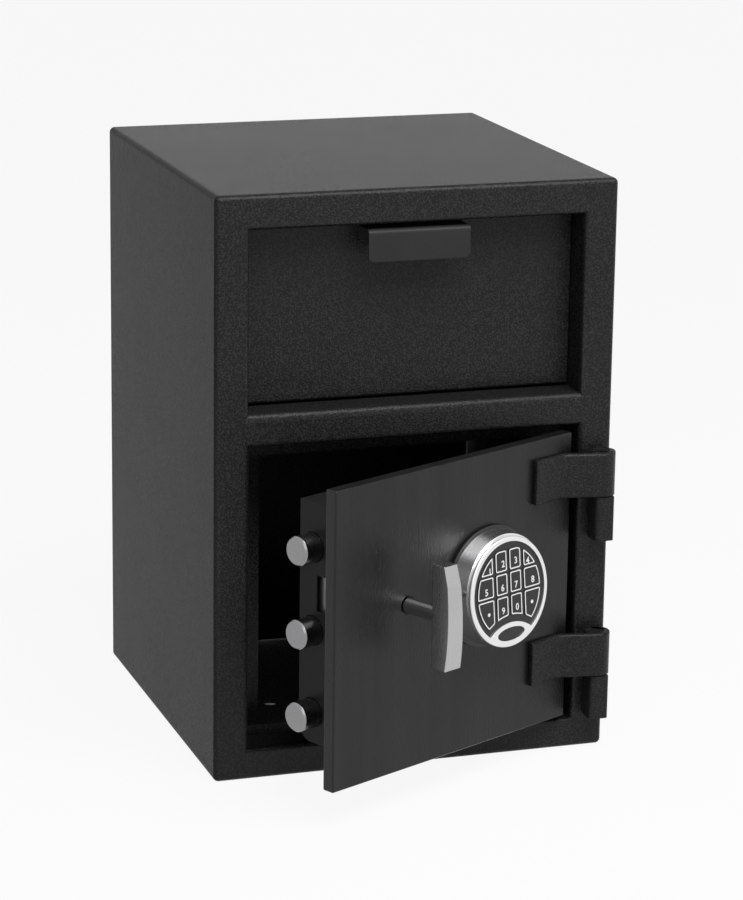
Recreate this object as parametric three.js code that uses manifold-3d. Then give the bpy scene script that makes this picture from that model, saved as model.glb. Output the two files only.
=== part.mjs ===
// Drop safe with a tilt-out deposit hopper above a bolted, hinged door.
// Millimetres, +Z up. X runs to the right, Y runs into the safe from its front face.
import * as THREE from 'three';
import { mergeVertices } from 'three/addons/utils/BufferGeometryUtils.js';
import Module from 'manifold-3d';

const wasm = await Module();
wasm.setup();

// Cabinet
const width = 355.6;
const depth = 355.6;
const height = 508;
const wall = 3.2;
const frontSheet = 3;
const edgeRadius = 4;
const seam = 0.3;
const sideRail = 29.8;
const topRail = 30;
const middleRail = 28;
const bottomRail = 27;
const doorOpeningHeight = 267;
const returnDepth = 36;
const hopperReturnDepth = 42;
const returnSheet = 2.5;
const stopWidth = 17.5;
const stopLip = 8.5;
const anchorRadius = 7;
const anchorSpacing = 150;

// Deposit hopper
const hopperRecess = 29.5;
const hopperSheet = 3;
const hopperGap = 2.5;
const hopperGapFloor = 1.6;
const hopperGapSide = 1.2;
const hopperLipRadius = 2.8;
const pivotLift = 10;
const pivotSetback = 3.5;
const pivotPinRadius = 3;
const pinClearance = 0.3;
const cheekSheet = 1.5;
const cheekInset = 4.8;
const cheekRadius = 140;
const cheekEyeRadius = 8;
const traySlope = 40;
const trayLength = 106;
const traySheet = 2;
const trayUpstand = 14;
const pullWidth = 90;
const pullHeight = 27.5;
const pullDrop = 4.5;
const pullSheet = 2;
const pullCorner = 5;
const pullFoot = 12;
const pullSetback = 1;
const chuteClearance = 6;
const chuteSheet = 2;
const chuteLength = 112;
const baffleClearance = 3.5;
const baffleSheet = 2;
const baffleFrom = 12;
const baffleTo = 78;
const baffleFlange = 22;

// Door and hinges
const doorAjar = 26.6;
const doorSetback = 6;
const doorThickness = 12;
const doorGapFree = 9.4;
const doorGapHinge = 2.8;
const doorGapTop = 4.4;
const doorGapBottom = 4.9;
const hingeInset = 12;
const hingeProud = 11.6;
const barrelRadius = 11;
const hingePinRadius = 5;
const strapSheet = 4.7;
const strapHeight = 40;
const strapReach = 69.3;
const strapLean = 36.6;
const lugWidth = 17;
const lugProud = 20;
const lugHeight = 39.2;
const lugCorner = 2.5;
const lugShift = 0.7;
const upperHingeZ = 233.2;
const lowerHingeZ = 70.6;

// Bolt work
const boltRadius = 12.7;
const boltChamfer = 1.5;
const boltInset = 6.8;
const boltPitch = 71.8;
const boltCentreZ = 154.6;
const boltSetback = 53;
const boltHoleClearance = 0.5;
const boltThrow = 26;
const coverInset = 26;
const coverWidth = 229.5;
const coverBottomZ = 56.6;
const coverHeight = 208.5;
const coverBack = 68;
const coverSheet = 1.5;
const coverCorner = 15;
const coverSlotBottomZ = 172.3;
const coverSlotHeight = 31;
const coverSlotFront = 21;
const coverSlotBack = 48;
const keeperLipWidth = 31;
const keeperRun = 1.5;
const carriageSheet = 6;
const carriageX = -79;
const carriageMargin = 15;
const tongueSheet = 3;
const tongueRise = 7.5;
const tongueDrop = 30.5;
const drivePinRadius = 3;
const drivePinPlay = 0.8;
const camRadius = 23;
const camThickness = 4;
const guideSheet = 2;
const guideStandoff = 3.5;
const guideGrip = 7.5;

// Lever
const leverX = -53.6;
const leverZ = 176.4;
const spindleRadius = 7;
const spindleProud = 35;
const bushingWall = 2.6;
const gripTopRise = 44.5;
const gripBottomDrop = 44;
const gripTopWidth = 14.6;
const gripBottomWidth = 18.8;
const gripTopDepth = 14.2;
const gripBottomDepth = 15.2;
const gripBulge = 5.8;
const gripLean = 3.2;
const gripFacet = 16.5;

// Lock
const lockX = -41;
const lockZ = 198;
const lockWidth = 62;
const lockHeight = 62;
const lockDepth = 31;
const hardPlateSheet = 3;
const lockBoltInset = 10.6;
const lockBoltWidth = 12;
const lockBoltDepth = 10;
const lockBoltLength = 28;
const lockBoltThrow = 8;
const lockTabWidth = 6;
const lockTabDepth = 12;
const lockTabPlay = 0.6;
const leadRadius = 2;
const leadProud = 13;
const leadX = 13;
const leadZ = 203;

// Keypad
const keypadX = 42.1;
const keypadZ = 173.5;
const keypadTilt = 5;
const keypadProud = 26;
const flangeRadius = 53;
const flangeSheet = 3;
const housingBaseRadius = 50.5;
const housingWall = 3;
const housingNeck = 12;
const bezelRadius = 47.4;
const bezelWidth = 4.2;
const bezelThickness = 4;
const facePlateSheet = 2.5;
const facePlateInset = 1.2;
const keyFieldRadius = 38.2;
const keyWidth = 13.4;
const keyHeight = 17.8;
const keyGapAcross = 3.6;
const keyGapUp = 2;
const keyFieldLift = 7.8;
const keyProud = 0.7;
const keyThickness = 3.6;
const keyTravel = 0.8;
const keyPlay = 0.35;
const badgeArcRadius = 42;
const badgeArcTopZ = -26.5;
const keyArcTopZ = -20.3;
const badgeZ = -36.3;
const badgeHalfWidth = 16.5;
const badgeHalfHeight = 5.6;
const boardRadius = 41;
const boardSheet = 1.6;
const bossRadius = 1.3;
const bossLift = 10;
const batteryWidth = 46;
const batteryHeight = 24;
const batteryDepth = 15;

// Finishes
const paint = new THREE.MeshStandardMaterial({ color: 0x2b2c2d, roughness: 0.55, metalness: 0.2 });
const satinPaint = new THREE.MeshStandardMaterial({ color: 0x303133, roughness: 0.4, metalness: 0.2 });
const pullPaint = new THREE.MeshStandardMaterial({ color: 0x3c3c3e, roughness: 0.4, metalness: 0.2 });
const bareSteel = new THREE.MeshStandardMaterial({ color: 0x8d9094, roughness: 0.4, metalness: 0.9 });
const chrome = new THREE.MeshStandardMaterial({ color: 0xc8cacc, roughness: 0.12, metalness: 1 });
const satinMetal = new THREE.MeshStandardMaterial({ color: 0xb4b5b6, roughness: 0.3, metalness: 0.9 });
const hardSteel = new THREE.MeshStandardMaterial({ color: 0x54565a, roughness: 0.5, metalness: 0.8 });
const zinc = new THREE.MeshStandardMaterial({ color: 0x9b9a92, roughness: 0.45, metalness: 0.8 });
const brass = new THREE.MeshStandardMaterial({ color: 0xb08d46, roughness: 0.35, metalness: 0.9 });
const blackPlastic = new THREE.MeshStandardMaterial({ color: 0x161617, roughness: 0.4, metalness: 0 });
const keyPlastic = new THREE.MeshStandardMaterial({ color: 0x1c1c1d, roughness: 0.5, metalness: 0 });
const boardGreen = new THREE.MeshStandardMaterial({ color: 0x1f4a33, roughness: 0.5, metalness: 0 });
const wireRed = new THREE.MeshStandardMaterial({ color: 0x7a2a24, roughness: 0.6, metalness: 0 });

// Solid tools
const radians = THREE.MathUtils.degToRad;
const overcut = 1;

function solid(geometry) {
  const bare = new THREE.BufferGeometry();
  bare.setAttribute('position', geometry.getAttribute('position'));
  if (geometry.index) bare.setIndex(geometry.index);
  const merged = mergeVertices(bare, 1e-5);
  return new wasm.Manifold(new wasm.Mesh({
    numProp: 3,
    vertProperties: new Float32Array(merged.getAttribute('position').array),
    triVerts: new Uint32Array(merged.index.array),
  }));
}

function surface(body) {
  const mesh = body.getMesh();
  const geometry = new THREE.BufferGeometry();
  geometry.setAttribute('position', new THREE.BufferAttribute(new Float32Array(mesh.vertProperties), 3));
  geometry.setIndex(new THREE.BufferAttribute(new Uint32Array(mesh.triVerts), 1));
  geometry.computeVertexNormals();
  return geometry;
}

function cut(body, ...tools) {
  return tools.reduce((rest, tool) => rest.subtract(solid(tool)), solid(body));
}

function join(...pieces) {
  return pieces.map(solid).reduce((whole, piece) => whole.add(piece));
}

function block(x0, x1, y0, y1, z0, z1) {
  const geometry = new THREE.BoxGeometry(x1 - x0, y1 - y0, z1 - z0);
  return geometry.translate((x0 + x1) / 2, (y0 + y1) / 2, (z0 + z1) / 2);
}

function rodX(y, z, x0, x1, radius, sides = 28) {
  const geometry = new THREE.CylinderGeometry(radius, radius, x1 - x0, sides);
  return geometry.rotateZ(Math.PI / 2).translate((x0 + x1) / 2, y, z);
}

function rodY(x, z, y0, y1, radius, sides = 28) {
  const geometry = new THREE.CylinderGeometry(radius, radius, y1 - y0, sides);
  return geometry.translate(x, (y0 + y1) / 2, z);
}

function rodZ(x, y, z0, z1, radius, sides = 28) {
  const geometry = new THREE.CylinderGeometry(radius, radius, z1 - z0, sides);
  return geometry.rotateX(Math.PI / 2).translate(x, y, (z0 + z1) / 2);
}

// Outlines drawn in two of the axes and pushed along the third
function pushed(shape, length, curveSegments) {
  return new THREE.ExtrudeGeometry(shape, { depth: length, bevelEnabled: false, curveSegments });
}

function prismX(shapeYZ, x0, x1, curveSegments = 8) {
  const turn = new THREE.Matrix4().makeBasis(
    new THREE.Vector3(0, 1, 0), new THREE.Vector3(0, 0, 1), new THREE.Vector3(1, 0, 0));
  return pushed(shapeYZ, x1 - x0, curveSegments).applyMatrix4(turn).translate(x0, 0, 0);
}

function prismY(shapeXZ, y0, y1, curveSegments = 8) {
  return pushed(shapeXZ, y1 - y0, curveSegments).rotateX(Math.PI / 2).translate(0, y1, 0);
}

function prismZ(shapeXY, z0, z1, curveSegments = 8) {
  return pushed(shapeXY, z1 - z0, curveSegments).translate(0, 0, z0);
}

function outline(points) {
  return new THREE.Shape(points.map(([a, b]) => new THREE.Vector2(a, b)));
}

function roundedRectangle(x0, x1, z0, z1, radius) {
  const shape = new THREE.Shape();
  shape.moveTo(x0 + radius, z0);
  shape.lineTo(x1 - radius, z0);
  shape.absarc(x1 - radius, z0 + radius, radius, -Math.PI / 2, 0);
  shape.absarc(x1 - radius, z1 - radius, radius, 0, Math.PI / 2);
  shape.absarc(x0 + radius, z1 - radius, radius, Math.PI / 2, Math.PI);
  shape.absarc(x0 + radius, z0 + radius, radius, Math.PI, 1.5 * Math.PI);
  return shape;
}

function place(parent, name, geometry, finish) {
  const mesh = new THREE.Mesh(geometry, finish);
  mesh.name = name;
  parent.add(mesh);
  return mesh;
}

// Places that the pieces share
const halfWidth = width / 2;
const openRight = halfWidth - sideRail;
const openLeft = -openRight;
const doorZ0 = bottomRail;
const doorZ1 = doorZ0 + doorOpeningHeight;
const hopperZ0 = doorZ1 + middleRail;
const hopperZ1 = height - topRail;
const hingeX = halfWidth - hingeInset;
const hingeY = -hingeProud;
const doorFront = doorSetback;
const doorBack = doorFront + doorThickness;
const plateLeft = openLeft + doorGapFree;
const plateRight = openRight - doorGapHinge;
const plateBottom = doorZ0 + doorGapBottom;
const plateTop = doorZ1 - doorGapTop;
const coverLeft = plateLeft + coverInset;
const coverRight = coverLeft + coverWidth;
const coverFront = doorBack + seam;
const coverRear = doorFront + coverBack;
const coverTopZ = coverBottomZ + coverHeight;
const boltY = doorFront + boltSetback;
const boltTipX = plateLeft + boltInset;
const boltHeights = [1, 0, -1].map((step) => boltCentreZ + step * boltPitch);
const stopTopZ = doorZ1 - stopWidth;
const keeperTopZ = stopTopZ + returnSheet;
const keeperLipFront = coverRear + keeperRun;
const pivotY = hopperRecess + hopperSheet + pivotSetback;
const pivotZ = hopperZ0 + pivotLift;
const cheekOuter = openRight - cheekInset;
const cheekInner = cheekOuter - cheekSheet;
const shellInner = halfWidth - wall;
const camFront = doorBack + hardPlateSheet + seam;
const tongueFront = camFront + camThickness + 1.5;

const safe = new THREE.Group();
safe.position.y = -depth / 2;

// The folded body: a rounded wrap of sheet, a back panel and the front frame
function addBody(parent) {
  const wrapFront = frontSheet + seam;
  const wrap = roundedRectangle(-halfWidth, halfWidth, 0, height, edgeRadius);
  const shell = cut(
    prismY(wrap, wrapFront, depth, 4),
    block(-shellInner, shellInner, 0, depth + overcut, wall, height - wall),
    rodZ(-anchorSpacing / 2, depth / 2, -overcut, wall + overcut, anchorRadius),
    rodZ(anchorSpacing / 2, depth / 2, -overcut, wall + overcut, anchorRadius));
  place(parent, 'body_shell', surface(shell), paint);

  const fit = shellInner - seam;
  const back = block(-fit, fit, depth - wall, depth, wall + seam, height - wall - seam);
  place(parent, 'back_panel', back, paint);

  const plate = prismY(wrap, 0, frontSheet, 4);
  const inPlate = frontSheet / 2;
  const frame = join(
    plate,
    block(openLeft - returnSheet, openRight + returnSheet, inPlate, hopperReturnDepth,
      hopperZ0 - returnSheet, hopperZ1 + returnSheet),
    block(openLeft + seam, openRight + returnSheet, inPlate, returnDepth,
      doorZ0 - returnSheet, doorZ1 + returnSheet));
  const openings = [[hopperZ0, hopperZ1], [doorZ0, doorZ1]].map(([z0, z1]) =>
    solid(block(openLeft, openRight, -overcut, hopperReturnDepth + overcut, z0, z1)));
  place(parent, 'front_frame', surface(openings.reduce((rest, hole) => rest.subtract(hole), frame)), paint);
}

// The lips that the closed door meets, and the jamb that its bolts enter
function addJambs(parent) {
  const stopFront = returnDepth + seam;
  const stopRear = stopFront + returnSheet;
  const stop = cut(
    block(openLeft + seam, openRight + returnSheet, stopFront, stopRear,
      doorZ0 - returnSheet, doorZ1 + returnSheet),
    block(openLeft - overcut, openRight - stopWidth, stopFront - overcut, stopRear + overcut,
      doorZ0 + stopLip, stopTopZ));
  place(parent, 'door_stop', surface(stop), paint);

  const keeperBottomZ = doorZ0 - returnSheet;
  const keeperOuter = openLeft - returnSheet;
  const keeperRear = keeperLipFront + returnSheet;
  const jamb = join(
    block(keeperOuter, openLeft, frontSheet + seam, stopRear, keeperBottomZ, doorZ1 + returnSheet),
    block(keeperOuter, openLeft, stopFront, keeperRear, keeperBottomZ, keeperTopZ),
    block(keeperOuter, openLeft + keeperLipWidth, keeperLipFront, keeperRear, keeperBottomZ, keeperTopZ));
  const boltHoles = boltHeights.map((z) =>
    solid(rodX(boltY, z, keeperOuter - overcut, openLeft + overcut, boltRadius + 2 * boltHoleClearance)));
  place(parent, 'bolt_keeper', surface(boltHoles.reduce((rest, hole) => rest.subtract(hole), jamb)), paint);
}

// Lugs on the right rail, each with the pin that its strap turns on
function addHingeLugs(parent) {
  const lugLeft = hingeX - lugWidth / 2 + lugShift;
  const lugPlan = roundedRectangle(lugLeft, lugLeft + lugWidth, -lugProud, -seam, lugCorner);
  for (const [label, z] of [['upper', upperHingeZ], ['lower', lowerHingeZ]]) {
    const lugTop = z - seam;
    const lugBottom = lugTop - lugHeight;
    const lug = cut(
      prismZ(lugPlan, lugBottom, lugTop, 4),
      rodZ(hingeX, hingeY, lugBottom - overcut, lugTop + overcut, hingePinRadius + seam));
    place(parent, `hinge_lug_${label}`, surface(lug), paint);
    const pin = rodZ(hingeX, hingeY, lugBottom + seam, z + strapHeight - seam, hingePinRadius);
    place(parent, `hinge_pin_${label}`, pin, paint);
  }
}

// The chute under the hopper and the baffle that keeps hands out of it
function addDropPassage(parent) {
  const slope = radians(traySlope);
  const along = ([distance, drop]) => [
    pivotY + distance * Math.cos(slope) - drop * Math.sin(slope),
    pivotZ - distance * Math.sin(slope) - drop * Math.cos(slope)];
  const chuteStart = 14;
  const under = chuteClearance + chuteSheet;
  const chute = outline([
    [chuteStart, chuteClearance], [chuteStart, under], [chuteLength, under], [chuteLength, chuteClearance],
  ].map(along));
  const chuteHalf = shellInner - seam;
  place(parent, 'chute_plate', prismX(chute, -chuteHalf, chuteHalf), paint);

  const trayReach = Math.hypot(trayLength * Math.cos(slope), trayLength * Math.sin(slope) - pivotLift);
  const innerRadius = trayReach + baffleClearance;
  const outerRadius = innerRadius + baffleSheet;
  const roofZ = height - wall - seam;
  const steps = 8;
  const arc = (radius, index) => {
    const angle = radians(baffleFrom + (baffleTo - baffleFrom) * index / steps);
    return [pivotY + radius * Math.cos(angle), pivotZ + radius * Math.sin(angle)];
  };
  const indices = [...Array(steps + 1).keys()];
  const [flangeY] = arc(innerRadius, steps);
  const baffle = outline([
    ...indices.map((index) => arc(innerRadius, index)),
    [flangeY, roofZ],
    [flangeY + baffleFlange, roofZ],
    [flangeY + baffleFlange, roofZ - baffleSheet],
    [flangeY + baffleSheet, roofZ - baffleSheet],
    ...indices.reverse().map((index) => arc(outerRadius, index)),
  ]);
  const baffleHalf = cheekInner - 3;
  place(parent, 'anti_fish_baffle', prismX(baffle, -baffleHalf, baffleHalf), paint);
}

// Stub pins in the opening's sides that the hopper tilts on
function addHopperPivots(parent) {
  for (const [label, side] of [['left', -1], ['right', 1]]) {
    const wallX = side * (openRight - seam);
    const tipX = side * cheekInner;
    const pivot = rodX(pivotY, pivotZ, Math.min(wallX, tipX), Math.max(wallX, tipX), pivotPinRadius, 24);
    place(parent, `hopper_pivot_${label}`, pivot, paint);
  }
}

// The tilt-out hopper: face, pull, two cheeks and the tray between them
function addHopper(parent) {
  const faceHalf = openRight - hopperGapSide;
  const faceBack = hopperRecess + hopperSheet;
  const faceBottom = hopperZ0 + hopperGapFloor;
  const faceTop = hopperZ1 - hopperGap;
  // Its lower front edge is rounded, so that it clears the ledge as the hopper tilts
  const section = new THREE.Shape();
  section.moveTo(hopperRecess, faceTop);
  section.lineTo(faceBack, faceTop);
  section.lineTo(faceBack, faceBottom);
  section.absarc(hopperRecess + hopperLipRadius, faceBottom + hopperLipRadius, hopperLipRadius,
    -Math.PI / 2, -Math.PI, true);
  place(parent, 'hopper_door', prismX(section, -faceHalf, faceHalf), paint);

  const pullTop = hopperZ1 - pullDrop;
  const pullBottom = pullTop - pullHeight;
  const pullFront = pullSetback;
  const pullBack = hopperRecess - seam;
  const pullSection = outline([
    [pullFront, pullBottom], [pullFront + pullSheet, pullBottom],
    [pullFront + pullSheet, pullTop - pullSheet], [pullBack - pullSheet, pullTop - pullSheet],
    [pullBack - pullSheet, pullTop - pullFoot], [pullBack, pullTop - pullFoot],
    [pullBack, pullTop], [pullFront, pullTop],
  ]);
  const pullHalf = pullWidth / 2;
  const pullFace = roundedRectangle(-pullHalf, pullHalf, pullBottom, pullTop + pullCorner, pullCorner);
  const pull = solid(prismX(pullSection, -pullHalf, pullHalf))
    .intersect(solid(prismY(pullFace, pullFront - overcut, pullBack + overcut, 4)));
  place(parent, 'hopper_pull', surface(pull), pullPaint);

  const slope = radians(traySlope);
  const cheekFront = faceBack + seam;
  const sector = new THREE.Shape();
  sector.moveTo(pivotY, pivotZ);
  const inner = trayLength + 2;
  sector.lineTo(pivotY + inner * Math.cos(slope), pivotZ - inner * Math.sin(slope));
  sector.absarc(pivotY, pivotZ, inner, -slope, radians(40));
  sector.absarc(pivotY, pivotZ, cheekRadius, radians(40), radians(90));
  sector.lineTo(cheekFront, pivotZ + cheekRadius);
  sector.lineTo(cheekFront, pivotZ);
  for (const [label, side] of [['left', -1], ['right', 1]]) {
    const x0 = Math.min(side * cheekInner, side * cheekOuter);
    const x1 = x0 + cheekSheet;
    const eye = solid(rodX(pivotY, pivotZ, x0, x1, cheekEyeRadius, 24))
      .intersect(solid(block(x0 - overcut, x1 + overcut, cheekFront, pivotY + 2 * cheekEyeRadius,
        pivotZ - 2 * cheekEyeRadius, pivotZ + 2 * cheekEyeRadius)));
    const cheek = solid(prismX(sector, x0, x1, 10)).add(eye)
      .subtract(solid(rodX(pivotY, pivotZ, x0 - overcut, x1 + overcut, pivotPinRadius + pinClearance, 24)));
    place(parent, `hopper_cheek_${label}`, surface(cheek), paint);
  }

  const trayFront = cheekFront;
  const bendZ = pivotZ + pivotLift;
  const run = [Math.cos(slope), -Math.sin(slope)];
  const trayEnd = [trayFront + trayLength * run[0], bendZ + trayLength * run[1]];
  const tray = outline([
    [trayFront, bendZ + trayUpstand], [trayFront, bendZ],
    trayEnd,
    [trayEnd[0] - traySheet * run[1], trayEnd[1] + traySheet * run[0]],
    [trayFront + traySheet, bendZ + traySheet * (1 - Math.sin(slope)) / Math.cos(slope)],
    [trayFront + traySheet, bendZ + trayUpstand],
  ]);
  const trayHalf = cheekInner - seam;
  place(parent, 'hopper_tray', prismX(tray, -trayHalf, trayHalf), paint);
}

// The door leaf and the straps that carry it, drawn as if the door were shut
function addDoorLeaf(parent) {
  const plate = cut(
    block(plateLeft, plateRight, doorFront, doorBack, plateBottom, plateTop),
    rodY(leverX, leverZ, doorFront - overcut, doorBack + overcut, spindleRadius + bushingWall + 2 * seam),
    rodY(leadX, leadZ, doorFront - overcut, doorBack + overcut, leadRadius + seam, 16));
  place(parent, 'door_plate', surface(plate), satinPaint);

  // The strap leaves its barrel on a tangent and bends flat on to the plate
  const lean = radians(strapLean);
  const away = new THREE.Vector2(-Math.sin(lean), -Math.cos(lean));
  const along = new THREE.Vector2(-Math.cos(lean), Math.sin(lean));
  const axis = new THREE.Vector2(hingeX, hingeY);
  const onLine = (offset, y) => {
    const start = axis.clone().addScaledVector(away, offset);
    return start.addScaledVector(along, (y - start.y) / along.y);
  };
  const outerY = doorFront - seam - strapSheet;
  const innerY = doorFront - seam;
  const outerBend = onLine(barrelRadius, outerY);
  const innerBend = onLine(barrelRadius - strapSheet, innerY);
  const strapLeft = hingeX - strapReach;
  const tangentAngle = Math.atan2(away.y, away.x);
  const inner = axis.clone().addScaledVector(away, barrelRadius - strapSheet);
  const reachOnCircle = Math.sqrt(barrelRadius ** 2 - (barrelRadius - strapSheet) ** 2);
  const inside = inner.addScaledVector(along, reachOnCircle);
  const insideAngle = Math.atan2(inside.y - hingeY, inside.x - hingeX);
  const strapPlan = new THREE.Shape();
  strapPlan.moveTo(strapLeft, outerY);
  strapPlan.lineTo(outerBend.x, outerBend.y);
  strapPlan.absarc(hingeX, hingeY, barrelRadius, tangentAngle, insideAngle);
  strapPlan.lineTo(innerBend.x, innerBend.y);
  strapPlan.lineTo(strapLeft, innerY);
  for (const [label, z] of [['upper', upperHingeZ], ['lower', lowerHingeZ]]) {
    const strap = cut(
      prismZ(strapPlan, z, z + strapHeight, 20),
      rodZ(hingeX, hingeY, z - overcut, z + strapHeight + overcut, hingePinRadius + seam));
    place(parent, `hinge_strap_${label}`, surface(strap), paint);
  }
}

// The cover over the bolt work, with the guide that the bolts run in
function addBoltCover(parent) {
  const section = (inset, front) => {
    const shape = new THREE.Shape();
    const rear = coverRear - inset;
    const bottom = coverBottomZ + inset;
    const radius = coverCorner - inset;
    shape.moveTo(front, bottom);
    shape.lineTo(rear - radius, bottom);
    shape.absarc(rear - radius, bottom + radius, radius, -Math.PI / 2, 0);
    shape.lineTo(rear, coverTopZ - inset);
    shape.lineTo(front, coverTopZ - inset);
    return shape;
  };
  const slotTopZ = coverSlotBottomZ + coverSlotHeight;
  const boltHole = boltRadius + boltHoleClearance;
  const cover = cut(
    prismX(section(0, coverFront), coverLeft, coverRight, 5),
    prismX(section(coverSheet, coverFront - overcut), coverLeft + coverSheet, coverRight - coverSheet, 5),
    block(coverLeft - overcut, coverLeft + coverSheet + overcut,
      doorFront + coverSlotFront, doorFront + coverSlotBack, coverSlotBottomZ, slotTopZ),
    ...boltHeights.map((z) =>
      rodX(boltY, z, coverLeft - overcut, coverLeft + coverSheet + overcut, boltHole)));
  place(parent, 'bolt_cover', surface(cover), satinPaint);

  const guideX = coverLeft + coverSheet + guideStandoff;
  const guideFoot = guideX + 10;
  const guideBottom = boltHeights[2] - boltHole - 6;
  const guideTop = boltHeights[0] + boltHole + 6;
  const guide = join(
    block(guideX, guideX + guideSheet, coverFront, boltY + guideGrip, guideBottom, guideTop),
    block(guideX, guideFoot, coverFront, coverFront + guideSheet, guideBottom, guideTop));
  const holes = boltHeights.map((z) =>
    solid(rodX(boltY, z, guideX - overcut, guideX + guideSheet + overcut, boltHole)));
  place(parent, 'bolt_guide', surface(holes.reduce((rest, hole) => rest.subtract(hole), guide)), bareSteel);
}

// Three bolts on one carriage, which a pin on the lever's cam drives sideways
function addBolts(parent) {
  boltHeights.forEach((z, index) => {
    const tip = boltTipX + boltChamfer;
    const profile = [
      [0, 0], [boltRadius - boltChamfer, 0], [boltRadius, boltChamfer],
      [boltRadius, carriageX - seam - boltTipX], [0, carriageX - seam - boltTipX],
    ].map(([radius, run]) => new THREE.Vector2(radius, run));
    const bolt = new THREE.LatheGeometry(profile, 32);
    bolt.rotateZ(-Math.PI / 2).translate(tip - boltChamfer, boltY, z);
    place(parent, `bolt_${index + 1}`, bolt, chrome);
  });

  const tongueRear = tongueFront + tongueSheet;
  const pinX = leverX + boltThrow / 2;
  const pinZ = leverZ - boltThrow / 2;
  const slotLow = leverZ - boltThrow / Math.SQRT2 - 2 * drivePinRadius;
  const slotHigh = pinZ + 2 * drivePinRadius;
  const slotHalf = drivePinRadius + drivePinPlay;
  const barTop = boltHeights[0] + carriageMargin;
  const barBottom = boltHeights[2] - carriageMargin;
  const carriageBack = boltY + boltRadius - 1;
  const armTop = leverZ + tongueRise;
  const armBottom = armTop - 6;
  const tabLeft = lockTabX();
  const bar = join(
    block(carriageX, carriageX + carriageSheet, tongueFront, carriageBack, barBottom, barTop),
    block(carriageX + 1, pinX + 10, tongueFront, tongueRear, leverZ - tongueDrop, armTop),
    block(pinX, tabLeft + lockTabWidth, tongueFront, tongueRear, armBottom, armTop),
    block(tabLeft, tabLeft + lockTabWidth, tongueFront, tongueFront + lockTabDepth, armBottom, lockZ - 2));
  const slot = block(pinX - slotHalf, pinX + slotHalf, tongueFront - overcut, tongueRear + overcut,
    slotLow, slotHigh);
  place(parent, 'bolt_carriage', surface(bar.subtract(solid(slot))), bareSteel);
}

// Left edge of the carriage's blocking tab when the bolts are drawn back
function lockTabX() {
  const lockBoltRight = lockX + lockBoltInset + lockBoltWidth;
  return lockBoltRight - lockBoltWidth + boltThrow - lockTabWidth - lockTabPlay;
}

// The lock body on its hard plate, and the small bolt that blocks the carriage
function addLock(doorBody, boltBody) {
  const hard = cut(
    block(lockX, lockX + lockWidth, coverFront, doorBack + hardPlateSheet, lockZ, lockZ + lockHeight),
    rodY(leadX, leadZ, doorBack, doorBack + hardPlateSheet + overcut, leadRadius + seam, 16));
  place(doorBody, 'hard_plate', surface(hard), hardSteel);

  const caseFront = doorBack + hardPlateSheet + seam;
  const boltX = lockX + lockBoltInset;
  const boltY0 = tongueFront + 2;
  const lockCase = cut(
    block(lockX, lockX + lockWidth, caseFront, caseFront + lockDepth, lockZ, lockZ + lockHeight),
    block(boltX - seam, boltX + lockBoltWidth + seam, boltY0 - seam, boltY0 + lockBoltDepth + seam,
      lockZ - overcut, lockZ + lockBoltLength + 4));
  place(doorBody, 'lock_case', surface(lockCase), zinc);

  const lockBolt = block(boltX, boltX + lockBoltWidth, boltY0, boltY0 + lockBoltDepth,
    lockZ + 0.4, lockZ + lockBoltLength);
  place(boltBody, 'lock_bolt', lockBolt, brass);

  const lead = rodY(leadX, leadZ, doorFront - leadProud, caseFront - seam, leadRadius, 16);
  place(doorBody, 'lock_lead', lead, wireRed);
}

// The lever: a spindle through the door, a bowed grip outside and a cam inside
function addLever(doorBody, leverBody) {
  const bushing = cut(
    rodY(leverX, leverZ, doorFront + 2, doorBack, spindleRadius + bushingWall + seam),
    rodY(leverX, leverZ, doorFront + overcut, doorBack + overcut, spindleRadius + seam));
  place(doorBody, 'spindle_bushing', surface(bushing), hardSteel);

  const spindle = rodY(leverX, leverZ, doorFront - spindleProud, camFront - seam, spindleRadius, 32);
  place(leverBody, 'lever_spindle', spindle, chrome);

  const backY = doorFront - spindleProud - seam;
  const topZ = leverZ + gripTopRise;
  const bottomZ = leverZ - gripBottomDrop;
  const backTop = backY + gripLean / 2;
  const backBottom = backY - gripLean / 2;
  const frontTop = backTop - gripTopDepth;
  const frontBottom = backBottom - gripBottomDepth;
  const facetZ = topZ - gripFacet;
  const facetY = frontTop - gripBulge * 0.8;
  const bellyZ = (topZ + bottomZ) / 2;
  const bellyY = (frontTop + frontBottom) / 2 - gripBulge;
  const grip = new THREE.Shape();
  grip.moveTo(backTop, topZ);
  grip.lineTo(backY, leverZ + spindleRadius);
  grip.lineTo(backY, leverZ - spindleRadius);
  grip.lineTo(backBottom, bottomZ);
  grip.lineTo(frontBottom, bottomZ);
  grip.quadraticCurveTo(bellyY - 1.5, bellyZ - 12, facetY, facetZ);
  grip.lineTo(frontTop, topZ);
  const halfTop = gripTopWidth / 2;
  const halfBottom = gripBottomWidth / 2;
  const taper = outline([
    [leverX - halfBottom, bottomZ - overcut], [leverX + halfBottom, bottomZ - overcut],
    [leverX + halfTop, topZ + overcut], [leverX - halfTop, topZ + overcut],
  ]);
  const gripBody = solid(prismX(grip, leverX - gripBottomWidth, leverX + gripBottomWidth, 10))
    .intersect(solid(prismY(taper, backY - 40, backY + 10)));
  place(leverBody, 'lever_grip', surface(gripBody), satinMetal);

  const pinX = leverX + boltThrow / 2;
  const pinZ = leverZ - boltThrow / 2;
  const cam = join(
    rodY(leverX, leverZ, camFront, camFront + camThickness, camRadius),
    rodY(pinX, pinZ, camFront + 1, tongueFront + tongueSheet + 2, drivePinRadius, 16));
  place(leverBody, 'lever_cam', surface(cam), bareSteel);
}

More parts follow.
